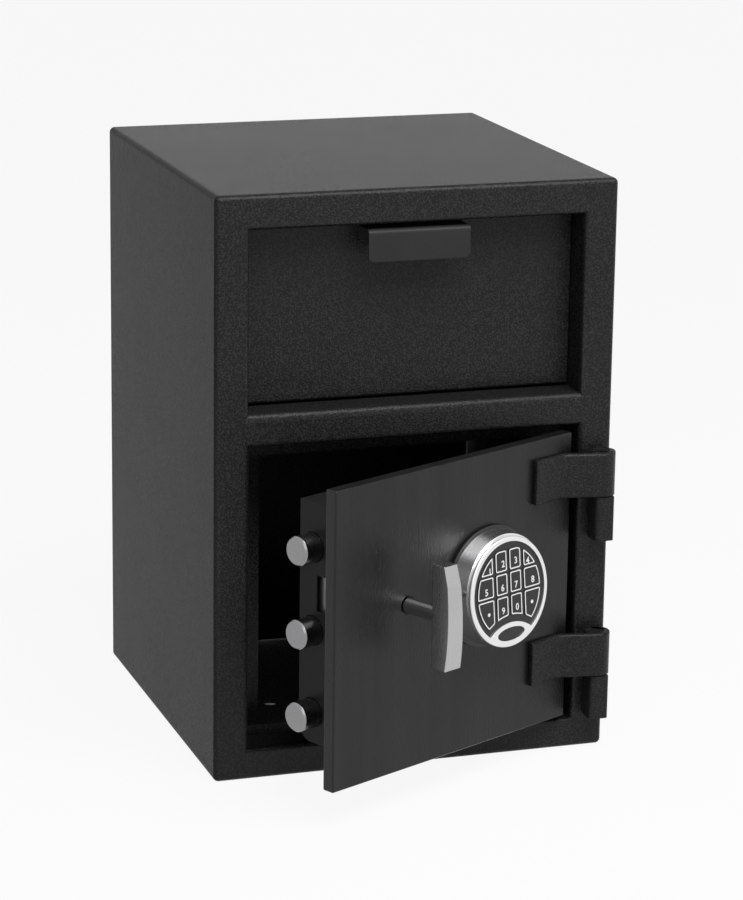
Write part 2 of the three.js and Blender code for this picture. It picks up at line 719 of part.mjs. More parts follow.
// The keypad: flange and housing on the door, then a face group that leans back
function addKeypad(doorBody, keyParent) {
  const flange = cut(
    rodY(keypadX, keypadZ, doorFront - seam - flangeSheet, doorFront - seam, flangeRadius, 64),
    rodY(leadX, leadZ, doorFront - seam - flangeSheet - overcut, doorFront, leadRadius + seam, 16));
  place(doorBody, 'keypad_flange', surface(flange), blackPlastic);

  const tilt = -radians(keypadTilt);
  const faceY = doorFront - keypadProud;
  const leanIn = (geometry) => geometry.rotateX(tilt).translate(keypadX, faceY, keypadZ);
  const housingBack = doorFront - 2 * seam - flangeSheet;
  const housingFront = faceY - housingNeck;
  const profile = [
    [housingBaseRadius - housingWall, housingBack], [housingBaseRadius, housingBack],
    [bezelRadius, faceY], [bezelRadius, housingFront],
    [bezelRadius - housingWall, housingFront], [bezelRadius - housingWall, faceY],
    [housingBaseRadius - housingWall, housingBack],
  ].map(([radius, y]) => new THREE.Vector2(radius, y)).reverse();
  const ring = new THREE.LatheGeometry(profile, 56);
  ring.translate(keypadX, 0, keypadZ);
  const front = leanIn(block(-100, 100, -60, bezelThickness + seam, -100, 100));
  place(doorBody, 'keypad_housing', surface(cut(ring, front)), chrome);

  const face = new THREE.Group();
  face.position.set(keypadX, faceY, keypadZ);
  face.rotation.x = tilt;
  doorBody.add(face);

  // The bezel widens at the bottom around an oval badge with nothing on it
  const badgeArcZ = badgeArcTopZ - badgeArcRadius;
  const faceRadius = bezelRadius - bezelWidth;
  const oval = (halfAcross, halfUp) => {
    const shape = new THREE.Shape();
    shape.absellipse(0, badgeZ, halfAcross, halfUp, 0, 2 * Math.PI);
    return shape;
  };
  const crescent = (grow, y0, y1) => solid(rodY(0, 0, y0, y1, faceRadius + 0.5 - grow, 56))
    .intersect(solid(rodY(0, badgeArcZ, y0 - overcut, y1 + overcut, badgeArcRadius - grow, 56)));
  const bezel = solid(rodY(0, 0, 0, bezelThickness, bezelRadius, 56))
    .subtract(solid(rodY(0, 0, -overcut, bezelThickness + overcut, faceRadius, 56)))
    .add(crescent(0, 0, bezelThickness))
    .subtract(solid(prismY(oval(badgeHalfWidth, badgeHalfHeight), -overcut, bezelThickness + overcut, 16)));
  place(face, 'keypad_bezel', surface(bezel), satinMetal);
  const badge = prismY(oval(badgeHalfWidth - seam, badgeHalfHeight - seam), 0.8, bezelThickness, 16);
  place(face, 'keypad_badge', badge, blackPlastic);

  // Keys fill a round field in four columns and three rows, cut off by the badge's arc
  const plateBack = facePlateInset + facePlateSheet;
  const columnPitch = keyWidth + keyGapAcross;
  const rowPitch = keyHeight + keyGapUp;
  const outerWidth = keyFieldRadius;
  const keyArcRadius = badgeArcRadius + keyArcTopZ - badgeArcTopZ;
  const keyBody = (column, row, grow, y0, y1) => {
    const side = column < 2 ? -1 : 1;
    const inner = (column === 1 || column === 2) ? keyGapAcross / 2 : keyGapAcross / 2 + columnPitch;
    const outer = (column === 1 || column === 2) ? inner + keyWidth : inner + outerWidth;
    const x0 = Math.min(side * inner, side * outer) - grow;
    const x1 = Math.max(side * inner, side * outer) + grow;
    const z = keyFieldLift + (1 - row) * rowPitch;
    const tall = row === 2 ? 2 * keyHeight : keyHeight;
    const z1 = z + keyHeight / 2 + grow;
    const z0 = z1 - tall - 2 * grow;
    return solid(block(x0, x1, y0, y1, z0, z1))
      .intersect(solid(rodY(0, 0, y0 - overcut, y1 + overcut, keyFieldRadius + grow, 56)))
      .subtract(solid(rodY(0, badgeArcZ, y0 - overcut, y1 + overcut, keyArcRadius - grow, 56)));
  };
  const rows = [['1', '2', '3', '4'], ['5', '6', '7', '8'], ['left', '9', '0', 'right']];
  let plate = solid(rodY(0, 0, facePlateInset, plateBack, faceRadius - seam, 56))
    .subtract(solid(rodY(0, badgeArcZ, facePlateInset - overcut, plateBack + overcut,
      badgeArcRadius + seam, 56)));
  const keyFront = facePlateInset - keyProud;
  rows.forEach((labels, row) => labels.forEach((label, column) => {
    plate = plate.subtract(keyBody(column, row, keyPlay, 0, plateBack + overcut));
    const key = keyBody(column, row, 0, keyFront, keyFront + keyThickness);
    place(face, `key_${label}`, surface(key), keyPlastic);
  }));
  const boardY = plateBack + keyTravel + 1.4;
  for (const x of [-columnPitch, 0, columnPitch]) {
    plate = plate.add(solid(rodY(x, bossLift, facePlateInset + 1, boardY - seam, bossRadius, 12)));
  }
  place(face, 'keypad_face', surface(plate), blackPlastic);

  // Inside the housing: a board on bosses behind the keys and a battery below it
  const boardBottom = -9;
  const board = solid(rodY(0, 0, boardY, boardY + boardSheet, boardRadius, 40))
    .intersect(solid(block(-boardRadius, boardRadius, 0, 20, boardBottom, boardRadius + overcut)));
  place(face, 'keypad_board', surface(board), boardGreen);
  const batteryTop = boardBottom - seam;
  const battery = block(-batteryWidth / 2, batteryWidth / 2, boardY, boardY + batteryDepth,
    batteryTop - batteryHeight, batteryTop);
  place(face, 'keypad_battery', battery, blackPlastic);
}

addBody(safe);
addJambs(safe);
addHingeLugs(safe);
addDropPassage(safe);
addHopperPivots(safe);
addHopper(safe);

// The door turns about its hinge line; its pieces are drawn shut and swing with it
const hinge = new THREE.Group();
hinge.position.set(hingeX, hingeY, 0);
hinge.rotation.z = radians(doorAjar);
safe.add(hinge);
const door = new THREE.Group();
door.position.set(-hingeX, -hingeY, 0);
hinge.add(door);
addDoorLeaf(door);
addBoltCover(door);
addBolts(door);
addLock(door, door);
addLever(door, door);
addKeypad(door, door);

export default safe;
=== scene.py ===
import bpy
import bmesh
import math
from mathutils import Matrix, Vector


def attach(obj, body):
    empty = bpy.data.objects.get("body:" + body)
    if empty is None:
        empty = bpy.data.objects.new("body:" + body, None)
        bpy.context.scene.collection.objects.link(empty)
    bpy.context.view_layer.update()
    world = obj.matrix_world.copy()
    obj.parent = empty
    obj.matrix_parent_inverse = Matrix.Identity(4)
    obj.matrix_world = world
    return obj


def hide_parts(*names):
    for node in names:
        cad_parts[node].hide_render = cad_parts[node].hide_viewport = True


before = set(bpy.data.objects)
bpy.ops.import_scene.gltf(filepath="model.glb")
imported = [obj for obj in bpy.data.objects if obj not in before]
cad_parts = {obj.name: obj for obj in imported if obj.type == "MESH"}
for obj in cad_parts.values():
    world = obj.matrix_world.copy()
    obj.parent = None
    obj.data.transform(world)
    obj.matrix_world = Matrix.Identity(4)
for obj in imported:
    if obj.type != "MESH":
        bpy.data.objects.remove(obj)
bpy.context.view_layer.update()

print("frame loaded:", len(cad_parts), "nodes")

# Positions are millimetres from the middle of the front edge: x right, y into the safe, z up
halfDepth = 177.8

# Two coordinates closer than this many metres are the same
tiny = 1e-5


def at(x, y, z):
    return Vector((x, y - halfDepth, z)) / 1000


# The door is modelled shut, then swung to where the photograph has it
hinge = {"x": 165.8, "y": -11.6, "open": 26.6}
hingePoint = at(hinge["x"], hinge["y"], 0)
doorPose = (Matrix.Translation(hingePoint) @ Matrix.Rotation(math.radians(hinge["open"]), 4, "Z")
            @ Matrix.Translation(-hingePoint))

# The keypad's face leans back in the door, and its pieces are modelled upright about (0, 0, 0)
keypad = {"x": 42.1, "y": -20, "z": 173.5, "tilt": 5}
facePose = (doorPose @ Matrix.Translation(at(keypad["x"], keypad["y"], keypad["z"]))
            @ Matrix.Rotation(math.radians(-keypad["tilt"]), 4, "X") @ Matrix.Translation(-at(0, 0, 0)))


# Camera
camera = {
    "place": (-900.466, -2565.9, 1007.57), "lens": 132.69, "sensor": 36,
    "azimuth": -18.527, "elevation": 14.952, "roll": 0.8094,
}


def addCamera(values):
    bpy.ops.object.camera_add()
    shot = bpy.context.object
    shot.name = "productShot"
    azimuth, elevation, roll = (math.radians(values[part]) for part in ("azimuth", "elevation", "roll"))
    back = Vector((math.sin(azimuth) * math.cos(elevation), -math.cos(azimuth) * math.cos(elevation),
                   math.sin(elevation)))
    right = (-back).cross(Vector((0, 0, 1))).normalized()
    up = right.cross(-back)
    across = right * math.cos(roll) + up * math.sin(roll)
    above = up * math.cos(roll) - right * math.sin(roll)
    turn = Matrix((across, above, back)).transposed()
    shot.matrix_world = Matrix.Translation(at(*values["place"])) @ turn.to_4x4()
    shot.data.lens = values["lens"]
    shot.data.sensor_width = values["sensor"]
    shot.data.clip_end = 50
    bpy.context.scene.camera = shot


# Modelling steps
def clearSelection():
    if bpy.context.object and bpy.context.object.mode != "OBJECT":
        bpy.ops.object.mode_set(mode="OBJECT")
    bpy.ops.object.select_all(action="DESELECT")


def pick(piece):
    clearSelection()
    piece.select_set(True)
    bpy.context.view_layer.objects.active = piece


def applyPlace(piece, pose=None):
    if pose:
        piece.matrix_world = pose @ piece.matrix_world
    pick(piece)
    bpy.ops.object.transform_apply(location=True, rotation=True, scale=True)


def applyModifiers(piece):
    pick(piece)
    for modifier in list(piece.modifiers):
        bpy.ops.object.modifier_apply(modifier=modifier.name)


def addBlock(name, x0, x1, y0, y1, z0, z1):
    clearSelection()
    bpy.ops.mesh.primitive_cube_add(size=1, location=at((x0 + x1) / 2, (y0 + y1) / 2, (z0 + z1) / 2))
    piece = bpy.context.object
    piece.name = name
    piece.scale = ((x1 - x0) / 1000, (y1 - y0) / 1000, (z1 - z0) / 1000)
    applyPlace(piece)
    return piece


def addDisc(name, radius, x, z, y0, y1, sides=96, frontRadius=None):
    clearSelection()
    front = radius if frontRadius is None else frontRadius
    bpy.ops.mesh.primitive_cone_add(
        vertices=sides, radius1=radius / 1000, radius2=front / 1000, depth=(y1 - y0) / 1000,
        location=at(x, (y0 + y1) / 2, z), rotation=(math.pi / 2, 0, 0))
    piece = bpy.context.object
    piece.name = name
    applyPlace(piece)
    return piece


def combine(piece, other, operation="DIFFERENCE"):
    pick(piece)
    modifier = piece.modifiers.new("combine", "BOOLEAN")
    modifier.operation = operation
    modifier.object = other
    modifier.solver = "EXACT"
    bpy.ops.object.modifier_apply(modifier=modifier.name)
    bpy.data.objects.remove(other, do_unlink=True)


# Chooses the edges with both ends on a point, in the axes named
def alongLine(point, axes, within=tiny):
    return lambda a, b: all(abs(end[axis] - point[axis]) < within for end in (a, b) for axis in axes)


def roundEdges(piece, chosen, width, segments=4):
    pick(piece)
    bpy.ops.object.mode_set(mode="EDIT")
    bpy.ops.mesh.select_mode(type="EDGE")
    bpy.ops.mesh.select_all(action="DESELECT")
    grid = bmesh.from_edit_mesh(piece.data)
    for edge in grid.edges:
        edge.select_set(chosen(edge.verts[0].co, edge.verts[1].co))
    grid.select_flush_mode()
    bmesh.update_edit_mesh(piece.data)
    bpy.ops.mesh.bevel(offset=width / 1000, segments=segments, affect="EDGES")
    bpy.ops.object.mode_set(mode="OBJECT")


# Rounds each edge by its own share of the width
def roundByShare(piece, share, width, segments):
    piece.data.attributes.new("bevel_weight_edge", "FLOAT", "EDGE")
    grid = bmesh.new()
    grid.from_mesh(piece.data)
    layer = grid.edges.layers.float["bevel_weight_edge"]
    for edge in grid.edges:
        edge[layer] = share(edge)
    grid.to_mesh(piece.data)
    grid.free()
    rounding = piece.modifiers.new("rounding", "BEVEL")
    rounding.width = width / 1000
    rounding.segments = segments
    rounding.limit_method = "WEIGHT"
    rounding.use_clamp_overlap = False
    applyModifiers(piece)


def softenEdges(piece, width, segments=3, limit=35):
    bevel = piece.modifiers.new("soften", "BEVEL")
    bevel.width = width / 1000
    bevel.segments = segments
    bevel.limit_method = "ANGLE"
    bevel.angle_limit = math.radians(limit)
    applyModifiers(piece)


# Faces that meet at less than this many degrees are merged
flat = 0.5


# A merged copy of a CAD node, ready for its edges to be rounded
def copyNode(name, node):
    source = bpy.data.objects[node]
    piece = bpy.data.objects.new(name, source.data.copy())
    bpy.context.collection.objects.link(piece)
    pick(piece)
    bpy.ops.mesh.customdata_custom_splitnormals_clear()
    bpy.ops.object.mode_set(mode="EDIT")
    bpy.ops.mesh.select_all(action="SELECT")
    bpy.ops.mesh.remove_doubles(threshold=tiny)
    bpy.ops.mesh.dissolve_limited(angle_limit=math.radians(flat))
    bpy.ops.object.mode_set(mode="OBJECT")
    return piece


# Smooth shading, finish, body and the CAD nodes that the piece stands for
def dress(piece, body, slotName, finish, *nodes, angle=32):
    pick(piece)
    bpy.ops.object.shade_smooth_by_angle(angle=math.radians(angle))
    even = piece.modifiers.new("evenNormals", "WEIGHTED_NORMAL")
    even.keep_sharp = True
    applyModifiers(piece)
    piece.data.materials.clear()
    piece.data.materials.append(finish)
    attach(piece, body)
    if nodes:
        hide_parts(*nodes)
    return piece


# Shader maths as expressions on sockets
class Wire:
    def __init__(self, shading, socket):
        self.shading = shading
        self.socket = socket

    def maths(self, operation, first, second):
        return self.shading.maths(operation, first, second)

    def __add__(self, other):
        return self.maths("ADD", self, other)

    def __radd__(self, other):
        return self.maths("ADD", other, self)

    def __sub__(self, other):
        return self.maths("SUBTRACT", self, other)

    def __rsub__(self, other):
        return self.maths("SUBTRACT", other, self)

    def __mul__(self, other):
        return self.maths("MULTIPLY", self, other)

    def __rmul__(self, other):
        return self.maths("MULTIPLY", other, self)


class Shading:
    def __init__(self, tree):
        self.tree = tree

    def join(self, value, socket):
        if isinstance(value, Wire):
            self.tree.links.new(value.socket, socket)
        else:
            socket.default_value = value

    def node(self, kind, settings=None, sockets=None, output=0):
        made = self.tree.nodes.new(kind)
        for setting, value in (settings or {}).items():
            if setting == "stops":
                ramp = made.color_ramp
                for place, (position, shade) in enumerate(value):
                    stop = ramp.elements[place] if place < 2 else ramp.elements.new(position)
                    stop.position = position
                    stop.color = (shade, shade, shade, 1)
            else:
                setattr(made, setting, value)
        for socket, value in (sockets or {}).items():
            self.join(value, made.inputs[socket])
        return Wire(self, made.outputs[output])

    def maths(self, operation, *values):
        return self.node("ShaderNodeMath", {"operation": operation}, dict(enumerate(values)))

    # The rays that see a surface, straight on, mirrored or through glass
    def seen(self):
        camera = self.node("ShaderNodeLightPath", output="Is Camera Ray")
        rays = camera.socket.node.outputs
        glossy, through = (Wire(self, rays[kind]) for kind in ("Is Glossy Ray", "Is Transmission Ray"))
        return self.maths("MAXIMUM", camera, self.maths("MAXIMUM", glossy, through))


class Finish(Shading):
    def __init__(self, name):
        self.material = bpy.data.materials.new(name)
        self.material.use_nodes = True
        super().__init__(self.material.node_tree)
        self.shader = self.tree.nodes["Principled BSDF"]

    def place(self, stretch=(1, 1, 1)):
        spot = self.node("ShaderNodeTexCoord", output="Object")
        return self.node("ShaderNodeMapping", None, {"Vector": spot, "Scale": stretch})

    def noise(self, scale, detail=2.0, stretch=(1, 1, 1), roughness=0.5):
        return self.node("ShaderNodeTexNoise", None, {
            "Vector": self.place(stretch), "Scale": scale, "Detail": detail, "Roughness": roughness})

    # Sockets 6, 7 and output 2 of the mix are its colours
    def tint(self, factor, first, second):
        start = first if isinstance(first, Wire) else (*first, 1)
        return self.node("ShaderNodeMix", {"data_type": "RGBA"}, {0: factor, 6: start, 7: (*second, 1)}, 2)

    def ramp(self, factor, *stops):
        return self.node("ShaderNodeValToRGB", {"stops": stops}, {0: factor})

    def bump(self, height, distance):
        return self.node("ShaderNodeBump", None, {"Height": height, "Distance": distance})

    def surface(self, **values):
        sockets = {
            "colour": "Base Color", "metallic": "Metallic", "roughness": "Roughness", "normal": "Normal",
            "coat": "Coat Weight", "coatRoughness": "Coat Roughness", "specular": "Specular IOR Level",
        }
        for name, value in values.items():
            if name == "colour" and not isinstance(value, Wire):
                value = (*value, 1)
            self.join(value, self.shader.inputs[sockets[name]])
        return self.material


# Finishes: noise scales are per metre, reliefs are metres
hammered = {
    "colour": (0.0062, 0.0062, 0.0064), "lighterTone": (0.0100, 0.0100, 0.0102), "fleck": (0.026, 0.026, 0.0264),
    "patches": 14, "flecks": (0.44, 0.66), "grain": 780, "finer": 2.7, "finerShare": 0.25, "relief": 0.00044,
    "roughness": (0.15, 0.20), "specular": 0.18,
}


def hammeredPaint(name, values):
    paint = Finish(name)
    cloud = paint.noise(values["patches"], detail=3)
    grain = paint.noise(values["grain"], detail=1.5, roughness=0.45)
    fine = paint.noise(values["grain"] * values["finer"], detail=1)
    low, high = values["roughness"]
    base = paint.tint(cloud, values["colour"], values["lighterTone"])
    sheen = values["specular"]

    # Faces turned to the side or up have less sheen than those to the front
    if "aside" in values:
        turned = paint.node("ShaderNodeTexCoord", output="Normal")
        split = paint.node("ShaderNodeSeparateXYZ", None, {0: turned})
        across = Wire(paint, split.socket.node.outputs["Y"])
        sheen = values["aside"] + (sheen - values["aside"]) * (across * across)
    start, end = values["flecks"]
    return paint.surface(
        colour=paint.tint(paint.ramp(grain, (start, 0), (end, 1)), base, values["fleck"]),
        roughness=low + (high - low) * cloud,
        specular=sheen,
        normal=paint.bump(grain + values["finerShare"] * fine, values["relief"]))


# Satin paint: lighter in random patches and in long upright streaks. The streaks are a painted reflection,
# and the paint is also smoother in them
satin = {
    "colour": (0.0060, 0.0060, 0.0062), "lighterTone": (0.019, 0.019, 0.0193), "cloudShare": 0.5, "paintedStreakShare": 0.4,
    "patches": 9, "streaks": (38, 38, 1.6), "streakLevels": (0.38, 0.66), "grain": 840, "relief": 0.00036,
    "roughness": (0.05, 0.09), "specular": 0.25,
}


def satinPaint(name, values):
    paint = Finish(name)
    cloud = paint.noise(values["patches"], detail=2)
    start, end = values["streakLevels"]
    streak = paint.ramp(paint.noise(1, detail=4, stretch=values["streaks"]), (start, 0), (end, 1))
    grain = paint.noise(values["grain"], detail=2)
    low, high = values["roughness"]
    # The streaks' share of the colour is a painted reflection, and the streaks also lower the roughness
    return paint.surface(
        colour=paint.tint(values["cloudShare"] * cloud + values["paintedStreakShare"] * streak,
                          values["colour"], values["lighterTone"]),
        roughness=high - (high - low) * streak,
        specular=values["specular"],
        normal=paint.bump(grain, values["relief"]))


pullSatin = {
    **satin, "colour": (0.024, 0.024, 0.0244), "lighterTone": (0.034, 0.034, 0.0344), "roughness": (0.30, 0.40),
    "grain": 800, "relief": 0.00016, "streaks": (20, 20, 6), "specular": 0.08,
}
# Bolt cover: the door's satin paint with a lighter base colour. This is painted light that stands in for the
# light on the cover's top
coverLitSatin = {
    **satin, "colour": (0.014, 0.014, 0.0143), "lighterTone": (0.020, 0.020, 0.0203), "roughness": (0.20, 0.28),
    "relief": 0.0002, "specular": 0.1,
}

metals = {
    "chrome": {"colour": (0.66, 0.66, 0.67), "dull": (0.56, 0.56, 0.57), "roughness": (0.07, 0.12),
               "stretch": (1, 1, 1), "scale": 60, "relief": 0.000004},
    "satinChrome": {"colour": (0.86, 0.86, 0.87), "dull": (0.76, 0.76, 0.77), "roughness": (0.10, 0.17),
                    "stretch": (1, 1, 1), "scale": 1200, "relief": 0.00006},
    "satinNickel": {"colour": (0.86, 0.86, 0.86), "dull": (0.78, 0.78, 0.78), "roughness": (0.30, 0.38),
                    "stretch": (1, 1, 1), "scale": 1000, "relief": 0.00002,
                    "coat": 1.0, "coatRoughness": 0.07, "metallic": 0.88},
    "brushedMetal": {"colour": (0.52, 0.52, 0.52), "dull": (0.44, 0.44, 0.44), "roughness": (0.24, 0.31),
                     "stretch": (1, 1, 0.04), "scale": 900, "relief": 0.000005},
    "boltSteel": {"colour": (0.30, 0.30, 0.305), "dull": (0.24, 0.24, 0.245), "roughness": (0.18, 0.32),
                  "stretch": (1, 1, 0.15), "scale": 500, "relief": 0.00003},
    "bareSteel": {"colour": (0.42, 0.42, 0.44), "dull": (0.28, 0.28, 0.29), "roughness": (0.30, 0.48),
                  "stretch": (1, 1, 0.2), "scale": 180, "relief": 0.00001},
    "hardSteel": {"colour": (0.16, 0.16, 0.17), "dull": (0.09, 0.09, 0.10), "roughness": (0.38, 0.55),
                  "stretch": (1, 1, 1), "scale": 120, "relief": 0.00002},
    "castZinc": {"colour": (0.40, 0.39, 0.36), "dull": (0.28, 0.275, 0.25), "roughness": (0.42, 0.58),
                 "stretch": (1, 1, 1), "scale": 420, "relief": 0.00003},
    "turnedBrass": {"colour": (0.55, 0.40, 0.15), "dull": (0.40, 0.28, 0.10), "roughness": (0.22, 0.36),
                    "stretch": (1, 6, 1), "scale": 160, "relief": 0.000006},
}


# What the metals share, unless a metal says otherwise
bareMetal = {"patches": 30, "cloudShare": 0.6, "lineShare": 0.4, "metallic": 1.0,
             "coat": 0.0, "coatRoughness": 0.03}


def metal(name, values):
    plate = Finish(name)
    cloud = plate.noise(values["patches"], detail=3)
    lines = plate.noise(values["scale"], detail=2, stretch=values["stretch"])
    low, high = values["roughness"]
    return plate.surface(
        colour=plate.tint(values["cloudShare"] * cloud + values["lineShare"] * lines,
                          values["dull"], values["colour"]),
        roughness=low + (high - low) * lines,
        metallic=values["metallic"],
        coat=values["coat"],
        coatRoughness=values["coatRoughness"],
        normal=plate.bump(lines, values["relief"]))


plastics = {
    "blackPlastic": {"colour": (0.004, 0.004, 0.0042), "pale": (0.006, 0.006, 0.0062),
                     "roughness": (0.30, 0.42), "grain": 1500, "relief": 0.00002},
    "keyPlastic": {"colour": (0.004, 0.004, 0.0042), "pale": (0.006, 0.006, 0.0062),
                   "roughness": (0.38, 0.50), "grain": 1800, "relief": 0.000015},
    "whitePrint": {"colour": (0.78, 0.78, 0.78), "pale": (0.84, 0.84, 0.84),
                   "roughness": (0.45, 0.55), "grain": 900, "relief": 0.000004},
    "circuitBoard": {"colour": (0.012, 0.060, 0.028), "pale": (0.020, 0.090, 0.042),
                     "roughness": (0.35, 0.50), "grain": 500, "relief": 0.00002},
    "wireRed": {"colour": (0.20, 0.022, 0.016), "pale": (0.26, 0.030, 0.022),
                "roughness": (0.40, 0.55), "grain": 700, "relief": 0.00002},
}


def plastic(name, values):
    moulding = Finish(name)
    cloud = moulding.noise(40, detail=2)
    grain = moulding.noise(values["grain"], detail=2)
    low, high = values["roughness"]
    return moulding.surface(
        colour=moulding.tint(cloud, values["colour"], values["pale"]),
        roughness=low + (high - low) * grain,
        normal=moulding.bump(grain, values["relief"]))


finishes = {
    "bodyPaint": hammeredPaint("bodyPaint", {**hammered, "aside": 0.012}),
    "doorPaint": satinPaint("doorPaint", satin),
    "lugPaint": hammeredPaint("lugPaint", {**hammered, "roughness": (0.38, 0.46)}),
    "coverLitPaint": satinPaint("coverLitPaint", coverLitSatin),
    "pullPaint": satinPaint("pullPaint", pullSatin),
}
finishes.update({name: metal(name, {**bareMetal, **values}) for name, values in metals.items()})
finishes.update({name: plastic(name, values) for name, values in plastics.items()})
print("finishes made:", len(finishes))


# Cabinet: one wrap of sheet with the two openings folded inwards
cabinet = {
    "halfWidth": 177.8, "depth": 355.6, "height": 508, "corner": 4.6, "wall": 3.2, "front": 3, "fold": 2.5,
    "openHalf": 148, "hopper": (322, 478, 42), "doorway": (27, 294, 36), "foldStart": 1.5, "jambGap": 0.3,
    "rim": 4.0, "sill": 7.5, "anchors": (-75, 75), "anchorRadius": 7, "anchorDepth": 20, "cut": 1,
}


def buildCabinet(values):
    half, depth, height = values["halfWidth"], values["depth"], values["height"]
    wall, fold, opening = values["wall"], values["fold"], values["openHalf"]
    start, cut = values["foldStart"], values["cut"]
    body = addBlock("cabinetWrap", -half, half, 0, depth, 0, height)
    front = at(0, 0, 0)
    atRear = alongLine(at(0, depth, 0), (1,))
    roundEdges(body, lambda a, b: not atRear(a, b), values["corner"], 5)
    combine(body, addBlock("hollow", wall - half, half - wall, values["front"], depth + 5 * cut,
                           wall, height - wall))
    bottom, top, deep = values["hopper"]
    combine(body, addBlock("hopperFolds", -opening - fold, opening + fold, start, deep,
                           bottom - fold, top + fold), "UNION")
    combine(body, addBlock("hopperOpening", -opening, opening, -cut, deep + cut, bottom, top))
    low, high, reach = values["doorway"]
    combine(body, addBlock("doorFolds", -opening + values["jambGap"], opening + fold, start, reach,
                           low - fold, high + fold), "UNION")
    combine(body, addBlock("doorOpening", -opening, opening, -cut, reach + cut, low, high))
    for x in values["anchors"]:
        clearSelection()
        bpy.ops.mesh.primitive_cylinder_add(vertices=48, radius=values["anchorRadius"] / 1000,
                                            depth=values["anchorDepth"] / 1000, location=at(x, depth / 2, 0))
        drill = bpy.context.object
        applyPlace(drill)
        combine(body, drill)
    side = opening / 1000
    ledge = bottom / 1000

    # The openings' front edges, the ledge under the hopper more than the rest
    def rimShare(edge):
        a, b = (end.co for end in edge.verts)
        if abs(a.y - front.y) > tiny or abs(b.y - front.y) > tiny:
            return 0
        for z0, z1, _ in (values["hopper"], values["doorway"]):
            inside = all(z0 / 1000 - tiny < end.z < z1 / 1000 + tiny and abs(end.x) < side + tiny
                         for end in (a, b))
            upright = abs(a.x - b.x) < tiny and abs(abs(a.x) - side) < tiny
            level = abs(a.z - b.z) < tiny and min(abs(a.z - z0 / 1000), abs(a.z - z1 / 1000)) < tiny
            if inside and (upright or level):
                return 1 if level and abs(a.z - ledge) < tiny else values["rim"] / values["sill"]
        return 0

    roundByShare(body, rimShare, values["sill"], 6)
    return dress(body, "cabinet", "dark_paint", finishes["bodyPaint"], "body_shell", "front_frame")


buildCabinet(cabinet)

# Sheet pieces that keep the CAD shape: node, body, edge radius and its segments
sheets = {
    "backSheet": ("back_panel", "cabinet", 0.8, 3),
    "stopFrame": ("door_stop", "cabinet", 0.6, 2),
    "boltKeeper": ("bolt_keeper", "cabinet", 0.6, 2),
    "chuteSheet": ("chute_plate", "cabinet", 0.5, 2),
    "handBaffle": ("anti_fish_baffle", "cabinet", 0.5, 2),
    "hopperFace": ("hopper_door", "hopper", 1.0, 3),
    "hopperCheekLeft": ("hopper_cheek_left", "hopper", 0.4, 2),
    "hopperCheekRight": ("hopper_cheek_right", "hopper", 0.4, 2),
    "hopperTray": ("hopper_tray", "hopper", 0.5, 2),
}
for name, (node, body, width, segments) in sheets.items():
    piece = copyNode(name, node)
    softenEdges(piece, width, segments)
    dress(piece, body, "dark_paint", finishes["bodyPaint"], node)
print("cabinet and hopper sheets made")

# Hopper pull: the folds are rounded before the sheet's own edges
pull = {"front": 1, "back": 29.2, "top": 473.5, "sheet": 2, "fold": 4, "edge": 0.5, "match": 2 * tiny}


def buildPull(values):
    piece = copyNode("hopperPull", "hopper_pull")
    sheet, top = values["sheet"], values["top"]
    for y, inner in ((values["front"], sheet), (values["back"], -sheet)):
        outerFold = alongLine(at(0, y, top), (1, 2), values["match"])
        innerFold = alongLine(at(0, y + inner, top - sheet), (1, 2), values["match"])
        roundEdges(piece, outerFold, values["fold"], 5)
        roundEdges(piece, innerFold, values["fold"] - sheet, 4)
    softenEdges(piece, values["edge"], 2, 50)
    return dress(piece, "hopper", "pull_paint", finishes["pullPaint"], "hopper_pull", angle=40)


buildPull(pull)

# Hinge lugs, rounder on the side towards the door
lug = {"left": 158, "front": -20, "wide": 40, "back": 20, "top": 300, "corner": 5.5, "edge": 1.0}


def buildLug(name, node, values):
    piece = copyNode(name, node)
    left, front = values["left"], values["front"]
    around = addBlock("around", left, left + values["wide"], front, values["back"], 0, values["top"])
    roundEdges(around, alongLine(at(left, front, 0), (0, 1)), values["corner"], 8)
    combine(piece, around, "INTERSECT")
    softenEdges(piece, values["edge"], 3, 40)
    return dress(piece, "cabinet", "dark_paint", finishes["lugPaint"], node)


buildLug("lugUpper", "hinge_lug_upper", lug)
buildLug("lugLower", "hinge_lug_lower", lug)

# Hinge straps: a soft bend where the strap leaves the door
strap = {"outerBend": (130.39, 1.0), "innerBend": (131.94, 5.7), "match": 1.5e-4, "bend": 2.4, "edge": 3.4,
         "behind": 0.3, "sharp": 40}


def buildStrap(name, node, values):
    piece = copyNode(name, node)
    shut = doorPose.inverted()
    for x, y in (values["outerBend"], values["innerBend"]):
        onBend = alongLine(at(x, y, 0), (0, 1), values["match"])
        roundEdges(piece, lambda a, b: onBend(shut @ a, shut @ b), values["bend"], 5)
    level = [end.co.z for end in piece.data.vertices]
    low, high = min(level), max(level)

    # The long edges of the front round off more than the rest
    def frontShare(edge):
        a, b = (end.co for end in edge.verts)
        if edge.calc_face_angle(0) < math.radians(values["sharp"]):
            return 0
        along = any(abs(a.z - side) < tiny and abs(b.z - side) < tiny for side in (low, high))
        facing = -sum(face.normal.y for face in edge.link_faces)
        return max(values["behind"], min(facing, 1)) if along else values["behind"]

    roundByShare(piece, frontShare, values["edge"], 5)
    return dress(piece, "door", "dark_paint", finishes["bodyPaint"], node)


buildStrap("strapUpper", "hinge_strap_upper", strap)
buildStrap("strapLower", "hinge_strap_lower", strap)

# Door plate: the spindle hole is narrow in front and wide behind, where its collar sits
door = {"x": (-138.6, 145.2), "y": (6, 18), "z": (31.9, 289.6), "edge": 1.6, "cut": 2,
        "spindle": (-53.6, 176.4), "hole": (8.0, 10.2, 1.5), "holeEdge": 0.5, "lead": (13, 203, 2.3)}


